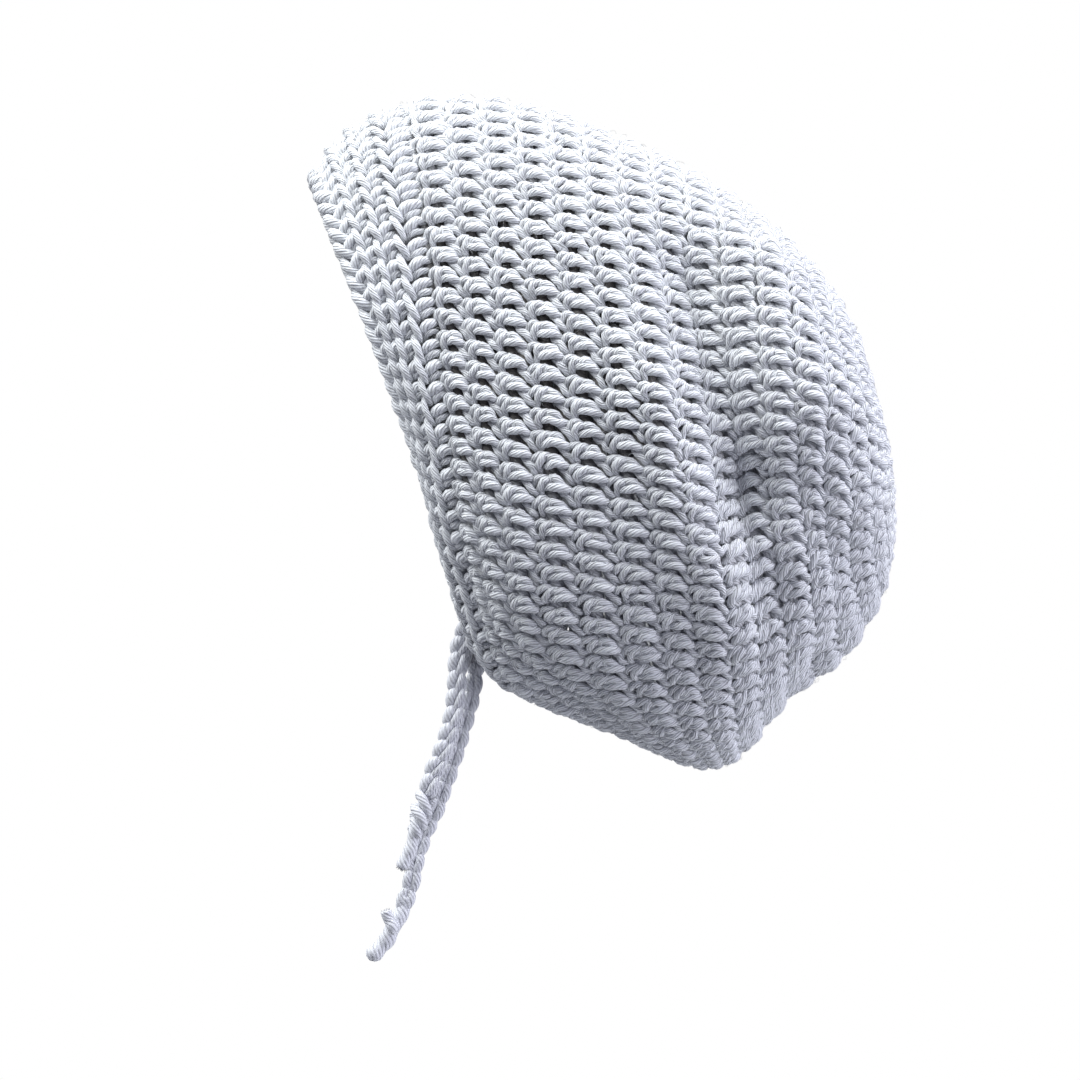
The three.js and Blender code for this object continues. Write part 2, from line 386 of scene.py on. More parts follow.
@dataclass(frozen=True)
class Strand:
    """One length of yarn in a stitch."""

    # places it goes through, as along and around in shares of the stitch's cell and a height in
    # yarn thicknesses
    points: tuple[Triple, ...]
    thick: float = 1.0
    ends: float = 0.7  # its thickness at both ends
    segments: int = 8  # rings of facets along it
    sides: int = 7

    def copies(self, count: int) -> Array:
        """The places it goes through, once for each stitch."""
        return np.repeat(np.array(self.points, float)[None], count, axis=0)

    def lines(self, places: Array) -> Array:
        """Smooth lines through each copy's places."""
        weights = smooth_basis(len(self.points), self.segments + 1)
        return np.einsum("sk,nkc->nsc", weights, places)

    def girths(self) -> Array:
        """Thickness at each ring along it, in yarn thicknesses."""
        swell = np.sin(math.pi * np.linspace(0, 1, self.segments + 1)) ** PLUMPNESS
        return self.ends + (self.thick - self.ends) * swell


@dataclass
class YarnMesh:
    """Collects tubes of yarn and makes one mesh of them."""

    lay: float = 0.022  # length of yarn for one turn of its twist
    inner_shade: float = 0.95  # how light the painted shade leaves the side that faces into the bag
    inner_rise: float = 1.6  # how fast the painted shade lifts towards that side
    inner_start: float = 0.55  # how far it turns inwards first
    # points of the tubes so far, like the lists after it
    points: list[Array] = field(default_factory=list)
    shades: list[Array] = field(default_factory=list)
    corners: list[Array] = field(default_factory=list)
    sizes: list[Array] = field(default_factory=list)
    # places of the corners about and along the yarn
    uvs: list[Array] = field(default_factory=list)
    made: int = 0

    def add(self, lines: Array, radii: Array, up: Array, shade: Array,
            start: Array, sides: int, outward: Array | None = None) -> None:
        """Adds a closed tube about each line.

        Args:
            lines: Points of each line, lines by points by coordinates.
            radii: The tube's radius at each point.
            up: A direction across each line at its first point.
            shade: How light the painted shade leaves the yarn at each point.
            start: Where each line starts in the yarn's twist.
            sides: Facets about a tube.
            outward: The fabric's direction at each point, to keep the painted shade off the yarn's
                inner side.
        """
        count, steps = lines.shape[:2]
        tangent = unit(np.gradient(lines, axis=1))
        normal = np.zeros_like(lines)
        across = up - tangent[:, 0] * np.sum(up * tangent[:, 0], -1, keepdims=True)
        normal[:, 0] = unit(across)
        for i in range(1, steps):
            carried = normal[:, i - 1]
            carried = carried - tangent[:, i] * np.sum(carried * tangent[:, i], -1, keepdims=True)
            normal[:, i] = unit(carried)
        binormal = np.cross(tangent, normal)
        turn = 2 * math.pi * np.arange(sides) / sides
        ring = normal[:, :, None] * np.cos(turn)[:, None]
        ring = ring + binormal[:, :, None] * np.sin(turn)[:, None]
        points = lines[:, :, None] + ring * radii[:, :, None, None]
        self.points.append(points.reshape(-1, 3))
        shades = np.repeat(shade[:, :, None], sides, axis=2)
        # painted shade: deep yarn keeps its dark side facing out of the bag, and its inner side is
        # lightened
        if outward is not None:
            inwards = -self.inner_rise * np.sum(ring * outward[:, :, None], -1)
            inner = np.clip(inwards - self.inner_start, 0, 1)
            shades = shades + (self.inner_shade - shades) * inner
        self.shades.append(shades.reshape(-1))
        index = self.made + np.arange(count * steps * sides).reshape(count, steps, sides)
        self.made += count * steps * sides
        after = np.roll(index, -1, axis=2)
        quads = np.stack([index[:, :-1], after[:, :-1], after[:, 1:], index[:, 1:]], -1)
        self.corners.append(quads.reshape(-1))
        self.sizes.append(np.full(quads.size // 4, 4))
        walked = np.linalg.norm(np.diff(lines, axis=1), axis=2)
        walked = np.concatenate([np.zeros((count, 1)), np.cumsum(walked, axis=1)], axis=1)
        v = walked / self.lay + start[:, None]
        u = np.arange(sides + 1) / sides
        shape = (count, steps - 1, sides)
        low_u, high_u = np.broadcast_to(u[:-1], shape), np.broadcast_to(u[1:], shape)
        low_v = np.broadcast_to(v[:, :-1, None], shape)
        high_v = np.broadcast_to(v[:, 1:, None], shape)
        pairs = [(low_u, low_v), (high_u, low_v), (high_u, high_v), (low_u, high_v)]
        self.uvs.append(np.stack([np.stack(pair, -1) for pair in pairs], -2).reshape(-1, 2))
        for end, at in ((index[:, 0, ::-1], v[:, 0]), (index[:, -1], v[:, -1])):
            self.corners.append(end.reshape(-1))
            self.sizes.append(np.full(count, sides))
            cap_v = np.repeat(at, sides)
            self.uvs.append(np.stack([np.tile(u[:-1], count), cap_v], -1))

    def make(self, name: str) -> Object:
        """Makes the mesh object.

        Args:
            name: The object's name.

        Returns:
            The object, linked to the scene.
        """
        points = np.concatenate(self.points).astype(np.float32)
        corners = np.concatenate(self.corners).astype(np.int32)
        sizes = np.concatenate(self.sizes).astype(np.int32)
        mesh = bpy.data.meshes.new(name)
        mesh.vertices.add(len(points))
        mesh.vertices.foreach_set("co", points.ravel())
        mesh.loops.add(len(corners))
        mesh.loops.foreach_set("vertex_index", corners)
        mesh.polygons.add(len(sizes))
        starts = np.concatenate([[0], np.cumsum(sizes)[:-1]]).astype(np.int32)
        mesh.polygons.foreach_set("loop_start", starts)
        mesh.polygons.foreach_set("use_smooth", np.ones(len(sizes), bool))
        mesh.update(calc_edges=True)
        layer = mesh.uv_layers.new(name="yarn")
        layer.data.foreach_set("uv", np.concatenate(self.uvs).astype(np.float32).ravel())
        shade = mesh.attributes.new("shade", "FLOAT", "POINT")
        shade.data.foreach_set("value", np.concatenate(self.shades).astype(np.float32))
        piece = bpy.data.objects.new(name, mesh)
        bpy.context.scene.collection.objects.link(piece)
        return piece


@dataclass
class Rounds:
    """Rounds of one kind of stitch on the fabric."""

    fabric: Fabric
    yarn: float
    strands: tuple[Strand, ...]
    height: float  # height of a round, in rounds of the bag
    open_part: OpenPart = OpenPart()  # where the stitches are drawn open and their deep yarn is painted darkest
    # how much the strands' places differ, along, around and in height
    uneven: Triple = (0.025, 0.032, 0.06)
    uneven_girth: float = 0.07  # how much their thickness differs
    uneven_shade: float = 0.025  # how much their lightness differs
    painted_shade_under: float = 0.1  # yarn thicknesses under the middle from which yarn gets painted shade
    # how much darker the painted shade makes yarn a thickness deeper, where the stitches are open
    # and how much less so where they aren't
    painted_depth_shade: Pair = (0.6, 0.46)
    darkest_painted_shade: float = 0.5  # how light the painted shade leaves the deepest yarn
    # how far the deepest yarn rises where the stitches aren't open, and from which depth
    raised: Pair = (0.6, 0.4)

    def lay(self, mesh: YarnMesh, start: float, count: int, phase: float,
            rng: np.random.Generator) -> None:
        """Lays one round of stitches.

        Args:
            mesh: Collects the strands.
            start: The round's first edge, counted in rounds from the seam.
            count: Stitches in the round.
            phase: Where its first stitch starts, in stitches.
            rng: Draws the small differences between stitches.
        """
        first = (np.arange(count) + phase) / count
        for strand in self.strands:
            places = strand.copies(count)
            for k, uneven in enumerate(self.uneven):
                places[:, :, k] += rng.normal(0, uneven, places.shape[:2])
            lines = strand.lines(places)
            rounds = start + lines[:, :, 0] * self.height
            turns = first[:, None] + lines[:, :, 1] / count
            closed = 1 - self.open_part.share(rounds, turns)
            deep = np.minimum(lines[:, :, 2] + self.painted_shade_under, 0)
            raised = self.raised[0] * closed * np.clip(-deep - self.raised[1], 0, 1)
            points = self.fabric.place(rounds, turns, (lines[:, :, 2] + raised) * self.yarn)
            radii = self.yarn / 2 * strand.girths() * rng.normal(1, self.uneven_girth, (count, 1))
            outward = self.fabric.direction(rounds, turns)
            # painted shade: yarn under the middle of the wall is coloured darker the deeper it lies,
            # most where the stitches are open
            shade = np.clip(1 + (self.painted_depth_shade[0] - self.painted_depth_shade[1] * closed) * deep, self.darkest_painted_shade, 1)
            shade = shade * rng.normal(1, self.uneven_shade, (count, 1))
            mesh.add(points, radii, outward[:, 0], shade, rng.random(count), strand.sides, outward)


BODY_STITCH = (
    # arch behind the stitch
    Strand(((0.0, 0.7, -0.4), (0.0, 0.48, 0.05), (0.09, 0.29, 0.24), (0.22, 0.18, 0.26),
            (0.37, 0.24, 0.1), (0.46, 0.42, -0.35)), thick=0.96, ends=0.7, segments=7, sides=6),
    # wrap from the foot up over the arch
    Strand(((0.24, 1.08, -0.45), (0.22, 0.88, -0.08), (0.2, 0.66, 0.3), (0.27, 0.44, 0.52),
            (0.39, 0.32, 0.54), (0.5, 0.28, 0.3), (0.57, 0.34, -0.2)), ends=0.6, segments=9),
    # hook beside it
    Strand(((0.4, 0.62, -0.05), (0.45, 0.46, 0.32), (0.54, 0.34, 0.5), (0.65, 0.34, 0.5),
            (0.76, 0.46, 0.4), (0.85, 0.62, 0.12), (0.9, 0.8, -0.3)), ends=0.6, segments=9),
    # bar across the middle
    Strand(((0.26, 0.74, 0.0), (0.4, 0.68, 0.42), (0.58, 0.66, 0.64), (0.77, 0.7, 0.6),
            (0.92, 0.79, 0.3), (1.02, 0.88, -0.2)), thick=1.14, ends=0.5),
    # leg down to the next round's foot
    Strand(((0.68, 0.78, -0.35), (0.82, 0.98, 0.0), (0.93, 1.16, 0.2), (1.02, 1.34, 0.22),
            (1.09, 1.48, 0.0), (1.14, 1.6, -0.4)), thick=0.92, ends=0.6),
    # loops behind the round, deep enough to take the painted shade that darkens the holes
    Strand(((0.42, -0.2, -1.1), (0.52, 0.2, -1.0), (0.46, 0.62, -1.05), (0.42, 1.2, -1.1)),
           thick=1.95, ends=1.7, segments=4, sides=6),
    # loops behind the next round's feet, also in that painted shade
    Strand(((0.92, -0.2, -1.05), (0.94, 0.5, -1.0), (0.92, 1.2, -1.05)),
           thick=2.15, ends=1.95, segments=3, sides=5),
)

BAND_STITCH = (
    # raised line
    Strand(((-0.14, -0.26, 0.0), (-0.12, -0.02, 0.55), (-0.02, 0.4, 0.86), (0.1, 0.82, 0.7),
            (0.14, 1.14, 0.1)), thick=1.02, ends=0.68, segments=8, sides=8),
    # nub between two lines
    Strand(((0.16, 0.84, -0.45), (0.26, 0.6, 0.1), (0.46, 0.4, 0.38), (0.68, 0.32, 0.24),
            (0.9, 0.3, -0.35)), thick=1.5, ends=0.85, segments=7),
    # lower side of the nub
    Strand(((0.2, 1.06, -0.5), (0.34, 0.9, 0.0), (0.54, 0.8, 0.2), (0.72, 0.74, 0.0),
            (0.86, 0.66, -0.5)), thick=1.05, ends=0.7, segments=7),
    # loops behind the round
    Strand(((0.5, -0.15, -0.9), (0.85, 0.3, -0.85), (0.8, 0.8, -0.85), (0.5, 1.15, -0.9)),
           thick=1.5, ends=1.4, segments=4, sides=6),
)

EDGE_STITCH = (
    # plump loop over the edge
    Strand(((0.5, 1.2, -0.3), (0.22, 1.0, 0.15), (-0.06, 0.66, 0.35), (-0.26, 0.25, 0.15),
            (-0.3, -0.1, -0.5)), thick=1.5, ends=0.95, segments=9, sides=8),
    # strand from the edge to the first line
    Strand(((-0.14, 0.84, -0.3), (0.14, 0.66, 0.25), (0.44, 0.44, 0.5), (0.76, 0.24, 0.35),
            (0.98, 0.12, -0.2)), thick=1.25, ends=0.7, segments=8, sides=8),
    # nub beside the first line
    Strand(((0.3, 1.04, -0.4), (0.46, 0.92, 0.05), (0.64, 0.76, 0.2), (0.8, 0.66, 0.0),
            (0.92, 0.6, -0.4)), thick=1.05, ends=0.8, segments=7),
    # edge turned inwards
    Strand(((-0.3, -0.15, -0.7), (-0.38, 0.3, -0.8), (-0.3, 0.7, -0.8), (-0.26, 1.15, -0.7)),
           thick=1.2, ends=1.0, segments=5, sides=7),
    # loops behind the round
    Strand(((0.3, -0.15, -0.8), (0.5, 0.3, -0.75), (0.5, 0.8, -0.75), (0.3, 1.15, -0.8)),
           thick=0.9, ends=0.8, segments=4, sides=6),
)


class Socket:
    """A shader socket that Python's operators do sums on."""

    def __init__(self, tree: "Shader", output: bpy.types.NodeSocket) -> None:
        """Wraps a node's output of a shader."""
        self.tree = tree
        self.output = output

    def _math(self, operation: str, *others: "Socket | float",
              first: "float | None" = None) -> "Socket":
        """A Math node on this socket and others."""
        values = [self, *others] if first is None else [first, self]
        return self.tree.node("ShaderNodeMath", {"operation": operation}, dict(enumerate(values)))

    def __add__(self, other: "Socket | float") -> "Socket":
        """Sum."""
        return self._math("ADD", other)

    __radd__ = __add__

    def __mul__(self, other: "Socket | float") -> "Socket":
        """Product."""
        return self._math("MULTIPLY", other)

    __rmul__ = __mul__

    def __sub__(self, other: "Socket | float") -> "Socket":
        """Difference."""
        return self._math("SUBTRACT", other)

    def __rsub__(self, other: float) -> "Socket":
        """Difference from a number."""
        return self._math("SUBTRACT", first=other)

    def __abs__(self) -> "Socket":
        """Size without sign."""
        return self._math("ABSOLUTE")

    def sine(self) -> "Socket":
        """Sine."""
        return self._math("SINE")

    def clamped(self, low: float, high: float) -> "Socket":
        """The value kept between two limits."""
        values = {"Value": self, "Min": low, "Max": high}
        return self.tree.node("ShaderNodeClamp", {}, values)


class Shader:
    """A material's node tree."""

    def __init__(self, name: str) -> None:
        """Starts a material.

        Args:
            name: The material's name.
        """
        self.material = bpy.data.materials.new(name)
        self.material.use_nodes = True
        self.tree = self.material.node_tree
        self.surface = self.tree.nodes["Principled BSDF"]

    def node(self, kind: str, settings: dict[str, object], inputs: dict[object, object],
             output: "str | int" = 0) -> Socket:
        """Adds a node.

        Args:
            kind: The node's type.
            settings: Its settings, set before its sockets.
            inputs: Values or sockets by input name or number.
            output: The output that is wanted.

        Returns:
            The output.
        """
        made = self.tree.nodes.new(kind)
        for key, value in settings.items():
            setattr(made, key, value)
        for key, value in inputs.items():
            if isinstance(value, Socket):
                self.tree.links.new(value.output, made.inputs[key])
            else:
                made.inputs[key].default_value = value
        return Socket(self, made.outputs[output])

    def feed(self, socket: str, value: Socket) -> None:
        """Links a value to the surface."""
        self.tree.links.new(value.output, self.surface.inputs[socket])

    def fix(self, **values: object) -> None:
        """Sets the surface's own sockets, with _ for a space in their names."""
        for key, value in values.items():
            self.surface.inputs[key.replace("_", " ")].default_value = value


@dataclass(frozen=True)
class YarnFinish:
    """Soft twisted yarn, with its plies, fine fibres and a little unevenness, and painted shade in its
    grooves and where it lies deep.
    """

    name: str
    light: Triple
    shade: Triple  # painted shade colour, in the grooves between plies and deep in the fabric
    plies: int = 9
    ply_depth: float = 0.0006
    fibre_depth: float = 0.0002
    groove_painted_shade: float = 0.47  # how much darker the grooves are painted, as their shade
    # depth of each groove, and of every second one on top of it
    pairing: Pair = (0.65, 0.35)
    fibres: Pair = (4, 3)  # fibres about a ply and along one turn of the twist
    # how light the yarn is at the least, and how much its fibres add
    fibre_shade: Pair = (0.85, 0.3)

    def make(self) -> Material:
        """Builds the material.

        Returns:
            The material.
        """
        shader = Shader(self.name)
        place = shader.node("ShaderNodeUVMap", {"uv_map": "yarn"}, {})
        parts = {"Vector": place}
        u = shader.node("ShaderNodeSeparateXYZ", {}, parts, "X")
        v = shader.node("ShaderNodeSeparateXYZ", {}, parts, "Y")
        twist = (u + v) * self.plies
        every, second = self.pairing
        ply = abs((twist * math.pi).sine()) * every + abs((twist * (math.pi / 2)).sine()) * second
        fibres = {"X": twist * self.fibres[0], "Y": v * self.fibres[1]}
        grain_at = shader.node("ShaderNodeCombineXYZ", {}, fibres)
        grain = shader.node("ShaderNodeTexNoise", {"noise_dimensions": "2D"},
                            {"Vector": grain_at, "Scale": 1.0, "Detail": 2.0})
        # the painted shade laid on the mesh as its shade attribute, darker where the yarn lies deep
        depth = shader.node("ShaderNodeAttribute", {"attribute_name": "shade"}, {}, "Fac")
        height = ply * self.ply_depth + grain * self.fibre_depth
        bump = shader.node("ShaderNodeBump", {},
                           {"Height": height, "Strength": 1.0, "Distance": 1.0})
        # painted shade in the grooves between plies
        groove = (1 - self.groove_painted_shade) + ply * self.groove_painted_shade
        least, more = self.fibre_shade
        # the fibres' own lightness, times the painted shade of the grooves and of deep yarn
        level = groove * (least + grain * more) * (depth * 2 - 1).clamped(0.0, 1.0)
        colour = shader.node("ShaderNodeMix", {"data_type": "RGBA"},
                             {0: level, 6: (*self.shade, 1), 7: (*self.light, 1)}, 2)
        shader.feed("Base Color", colour)
        shader.feed("Normal", bump)
        shader.fix(Roughness=0.62, Sheen_Weight=0.22, Sheen_Roughness=0.4)
        return shader.material


YARN = YarnFinish("white_yarn", light=(0.91, 0.93, 0.97), shade=(0.17, 0.155, 0.14))
CORD_YARN = YarnFinish("white_cord_yarn", light=(0.86, 0.87, 0.92), shade=(0.16, 0.15, 0.17),
                       plies=7, ply_depth=0.0005, groove_painted_shade=0.36)


@dataclass
class Bag:
    """The slouching bag, round by round."""

    fabric: Fabric
    yarn: float = 0.0045
    stitch_width: float = 0.0119
    first: float = 1.58  # the first round's edge, in rounds from the seam
    full_count: int = 80  # stitches in the rounds next to the band
    full_until: float = 9.0  # where those rounds end
    drift: float = -0.42  # how far each round's first stitch moves on, in stitches
    pieces: int = 5
    seed: int = 7

    def counts(self) -> list[int]:
        """Stitches in each round, from the seam to the middle."""
        made = []
        for i in range(int(self.fabric.form.rounds - self.first)):
            girth = self.fabric.girth_at(i + self.first + 0.5)
            full = i + self.first < self.full_until
            made.append(self.full_count if full else max(6, round(girth / self.stitch_width)))
        return made

    def build(self, material: Material) -> None:
        """Makes the bag's pieces.

        Args:
            material: The yarn's finish.
        """
        rng = np.random.default_rng(self.seed)
        stitches = Rounds(self.fabric, self.yarn, BODY_STITCH, 1.0)
        counts = self.counts()
        total, share, made = sum(counts), 0, 0
        mesh = YarnMesh()
        for i, count in enumerate(counts):
            stitches.lay(mesh, i + self.first, count, (self.drift * i) % 1, rng)
            share += count
            if share >= total * (made + 1) / self.pieces or i == len(counts) - 1:
                made += 1
                dress(mesh.make(f"crown_rounds_{made}"), material, Slot.CROWN, "crown")
                mesh = YarnMesh()


@dataclass
class Band:
    """The closer rounds about the opening."""

    fabric: Fabric
    yarn: float = 0.0043
    count: int = 80
    # where its raised lines run, in rounds from the seam
    lines: tuple[float, ...] = (-1.9, -1.05, -0.17, 0.7)
    height: float = 0.87  # height of a round, in rounds of the bag
    last_height: float = 1.0  # height of the round next to the bag
    drift: float = 0.12  # how far each round's first stitch moves on, in stitches
    seed: int = 11

    def build(self, material: Material) -> None:
        """Makes the band.

        Args:
            material: The yarn's finish.
        """
        rng = np.random.default_rng(self.seed)
        mesh = YarnMesh()
        for i, line in enumerate(self.lines):
            strands = BAND_STITCH if i else EDGE_STITCH
            height = self.height if i < len(self.lines) - 1 else self.last_height
            stitches = Rounds(self.fabric, self.yarn, strands, height)
            stitches.lay(mesh, line, self.count, (self.drift * i) % 1, rng)
        dress(mesh.make("rim_rounds"), material, Slot.BAND, "rim_band")


@dataclass
class Fuzz:
    """Loose fibres that stand out of the yarn."""

    fabric: Fabric
    count: int = 2100
    thick: float = 0.0002
    root: float = 0.0022  # height over the middle of the wall from which they stand
    reach: Pair = (0.002, 0.006)  # how far they run along the surface, from and to
    rise: Pair = (0.001, 0.0034)  # how high they stand, from and to
    steps: int = 4
    sides: int = 3
    first: float = -1.9  # the first round that has them
    left: float = 1.5  # rounds at the crown's middle that have none
    bow: float = 2.4  # how far a fibre turns back towards the yarn, in radians
    seed: int = 23

    def build(self, material: Material) -> None:
        """Makes the fibres as one piece.

        Args:
            material: The yarn's finish.
        """
        rng = np.random.default_rng(self.seed)
        rounds = rng.uniform(self.first, self.fabric.form.rounds - self.left, (self.count, 1))
        turns = rng.random((self.count, 1))
        share = np.linspace(0, 1, self.steps)[None]
        reach = rng.uniform(*self.reach, (self.count, 1)) * share
        way = rng.random((self.count, 1)) * 2 * math.pi + share * rng.normal(0, 1, (self.count, 1))
        along = reach * np.cos(way) / self.fabric.form.round_height
        around = reach * np.sin(way) / self.fabric.girth_at(4)
        lift = self.root + rng.uniform(*self.rise, (self.count, 1)) * np.sin(share * self.bow)
        points = self.fabric.place(rounds + along, turns + around, lift)
        up = self.fabric.direction(rounds[:, 0] + 0.3, turns[:, 0])
        radii = self.thick / 2 * np.ones_like(lift)
        mesh = YarnMesh()
        mesh.add(points, radii, up, np.ones_like(lift), rng.random(self.count), self.sides)
        dress(mesh.make("crown_fuzz"), material, Slot.CROWN, "crown")


class Route:
    """A smooth line that a drawstring's end follows, with directions across it."""

    def __init__(self, points: Array, front: Triple = (0, -1, 0)) -> None:
        """Draws the line.

        Args:
            points: The points it goes through.
            front: The direction that its stitches face.
        """
        fine = smooth_basis(len(points), 60 * len(points)) @ points
        steps = np.linalg.norm(np.diff(fine, axis=0), axis=1)
        self.walked = np.concatenate([[0], np.cumsum(steps)])
        self.length = float(self.walked[-1])
        self.fine = fine
        self.front = np.array(front, float)

    def _on(self, along: Array) -> Array:
        """Points on the line at lengths from its start."""
        return np.stack([np.interp(along, self.walked, self.fine[:, k]) for k in range(3)], -1)

    def centre(self, along: Array) -> Array:
        """Points on the line, drawn out straight past its ends."""
        inside = np.clip(along, 0, self.length)
        return self._on(inside) + self.ahead(along) * (along - inside)[..., None]

    def ahead(self, along: Array, reach: float = 0.002) -> Array:
        """The line's direction, taken over a short reach to both sides."""
        low = np.clip(along - reach, 0, self.length - 2 * reach)
        return unit(self._on(low + 2 * reach) - self._on(low))

    def place(self, along: Array, side: Array, out: Array) -> Array:
        """Points beside the line.

        Args:
            along: Lengths from its start.
            side: How far to the right, seen from the front.
            out: How far towards the front.

        Returns:
            Points, with the three coordinates on the last axis.
        """
        ahead = self.ahead(along)
        front = unit(self.front - ahead * np.sum(ahead * self.front, -1, keepdims=True))
        right = np.cross(front, ahead)
        return self.centre(along) + right * side[..., None] + front * out[..., None]


@dataclass(frozen=True)
class WoundEnd:
    """The plump wound yarn at an end's tip."""

    under: float  # how far it starts under what comes before it
    thick: Pair
    bulge: float  # length of its small swellings
    tip: float  # length over which its end is rounded
    cut: float = 0.0  # thickness of its frayed cut
    loose: int = 0  # fine ends that stand out of the cut
    # its thickness between swellings, and how much large and small ones add
    swell: Triple = (0.93, 0.1, 0.05)
    sway: float = 0.0004  # how far it sways from its line
    step: float = 0.0009  # length between its rings
    sides: int = 20
    fine: float = 0.0007  # half the thickness of a fine end
    fine_root: float = 0.005  # how far before the cut the fine ends start
    fine_reach: Pair = (0.0054, 0.0014)  # their length, and how much it differs


@dataclass
class Chain:
    """A row of the same stitch along a route."""

    route: Route
    yarn: float
    rng: np.random.Generator
    aside: float = 0.0  # how far its stitches lie to the right of the route at the top
    uneven: float = 0.03  # how much the strands' places differ
    uneven_girth: float = 0.05  # how much their thickness differs

    def lay(self, mesh: YarnMesh, strands: tuple[Strand, ...], start: float, end: float,
            count: int) -> None:
        """Lays stitches.

        Args:
            mesh: Collects the strands.
            strands: The strands of one stitch, with their places as along in shares of a stitch,
                and right and front in yarn thicknesses.
            start: Where the first stitch starts on the route.
            end: Where the last stitch ends.
            count: How many stitches.
        """
        pitch = (end - start) / count
        first = start + pitch * np.arange(count)
        for strand in strands:
            places = strand.copies(count)
            places[:, :, 0] += self.rng.normal(0, self.uneven * 0.6, places.shape[:2])
            places[:, :, 1:] += self.rng.normal(0, self.uneven, places[:, :, 1:].shape)
            lines = strand.lines(places)
            along = first[:, None] + lines[:, :, 0] * pitch
            side = lines[:, :, 1] * self.yarn
            side = side + self.aside * np.clip(1.2 - along / self.route.length, 0, 1)
            points = self.route.place(along, side, lines[:, :, 2] * self.yarn)
            noise = self.rng.normal(1, self.uneven_girth, (count, 1))
            radii = self.yarn / 2 * strand.girths() * noise
            up = np.repeat(self.route.front[None], count, axis=0)
            # painted shade: strands that lie further back are coloured darker
            shade = np.clip(1 + 0.4 * np.minimum(lines[:, :, 2], 0.2), 0.5, 1.1)
            mesh.add(points, radii, up, shade, self.rng.random(count), strand.sides)

    def wind(self, mesh: YarnMesh, start: float, wound: WoundEnd) -> None:
        """Lays a plump wound length of yarn from a place on the route to its end.

        Args:
            mesh: Collects the strands.
            start: Where what comes before it ends.
            wound: Its sizes.
        """
        start, end = start - wound.under, self.route.length
        steps = max(12, int((end - start) / wound.step))
        share = np.linspace(0, 1, steps + 1)
        along = start + (end - start) * share
        plump = wound.thick[0] + (wound.thick[1] - wound.thick[0]) * share
        wave = np.sin(math.pi * along / wound.bulge)
        least, large, small = wound.swell
        swell = least + large * np.abs(wave) + small * np.sin(4.4 * along / wound.bulge)
        left = np.clip((end - along) / wound.tip, 0, 1)
        radii = plump / 2 * swell * np.sqrt(np.maximum(1 - (1 - left) ** 2, 0.01))
        points = self.route.place(along, wound.sway * wave, np.zeros_like(along))
        mesh.add(points[None], radii[None], self.route.front[None], np.ones((1, steps + 1)),
                 np.zeros(1), wound.sides)
        if wound.loose:
            self._fray(mesh, wound)

    def _fray(self, mesh: YarnMesh, wound: WoundEnd) -> None:
        """Lays fine yarn ends that stand out of the cut at the route's end.

        Args:
            mesh: Collects the strands.
            wound: Sizes of the cut end.
        """
        count, steps, sides = wound.loose, 6, 6
        end = self.route.length - 0.001
        turn = self.rng.random((count, 1)) * 2 * math.pi
        far = wound.cut / 2 * np.sqrt(self.rng.random((count, 1)))
        share = np.linspace(0, 1, steps)[None]
        reach = wound.fine_reach[0] + wound.fine_reach[1] * self.rng.random((count, 1))
        along = end - wound.fine_root + share * reach
        spread = far * (0.8 + 0.3 * share**2)
        points = self.route.place(along, spread * np.cos(turn), spread * np.sin(turn))
        radii = np.repeat(wound.fine * (1.15 - share), count, axis=0)
        up = np.repeat(self.route.front[None], count, axis=0)
        mesh.add(points, radii, up, np.ones_like(along), self.rng.random(count), sides)


FRONT_CHAIN = (
    # plump loop on the left
    Strand(((-0.1, 0.16, 0.1), (0.04, -0.26, 0.38), (0.36, -0.54, 0.36), (0.74, -0.54, 0.18),
            (1.04, -0.26, -0.15)), thick=1.36, ends=0.85, segments=9, sides=10),
    # narrow strand over the right
    Strand(((-0.2, 0.62, 0.3), (0.12, 0.56, 0.66), (0.5, 0.34, 0.76), (0.86, 0.14, 0.58),
            (1.14, -0.08, 0.1)), thick=0.8, ends=0.6, segments=8, sides=8),
    # loop at the right edge
    Strand(((-0.1, 0.2, 0.0), (0.2, 0.58, 0.1), (0.5, 0.74, 0.16), (0.85, 0.66, 0.2),
            (1.15, 0.36, 0.3)), thick=0.86, ends=0.65, segments=8, sides=8),
    # loop behind
    Strand(((-0.15, -0.4, -0.5), (0.2, -0.1, -0.75), (0.6, 0.2, -0.7), (1.1, 0.35, -0.5)),
           thick=1.2, ends=0.9, segments=7, sides=8),
)

FRONT_TOP = (
    *FRONT_CHAIN,
    # loop between the two ends
    Strand(((0.0, 0.3, -0.2), (0.4, 0.95, -0.1), (0.9, 1.4, -0.3), (1.5, 1.5, -0.8),
            (2.1, 1.3, -1.2)), thick=1.3, ends=0.8, segments=9, sides=8),
    # smaller loop between them
    Strand(((0.3, 0.1, 0.1), (0.9, 0.8, 0.3), (1.5, 1.1, -0.1), (2.4, 1.0, -0.7)),
           thick=1.0, ends=0.7, segments=9, sides=8),
)

BACK_CHAIN = (
    # left loop
    Strand(((-0.14, 0.05, 0.05), (0.15, -0.34, 0.24), (0.5, -0.5, 0.26), (0.85, -0.36, 0.2),
            (1.16, 0.0, -0.1)), thick=1.12, ends=0.8, segments=9, sides=9),
    # right loop
    Strand(((-0.14, 0.0, -0.1), (0.15, 0.36, 0.24), (0.5, 0.54, 0.3), (0.85, 0.4, 0.24),
            (1.16, 0.08, 0.0)), thick=1.18, ends=0.8, segments=9, sides=9),
    # loop behind
    Strand(((-0.15, 0.3, -0.4), (0.2, 0.1, -0.7), (0.6, -0.1, -0.66), (1.1, -0.3, -0.4)),
           thick=1.2, ends=0.9, segments=7, sides=8),
)

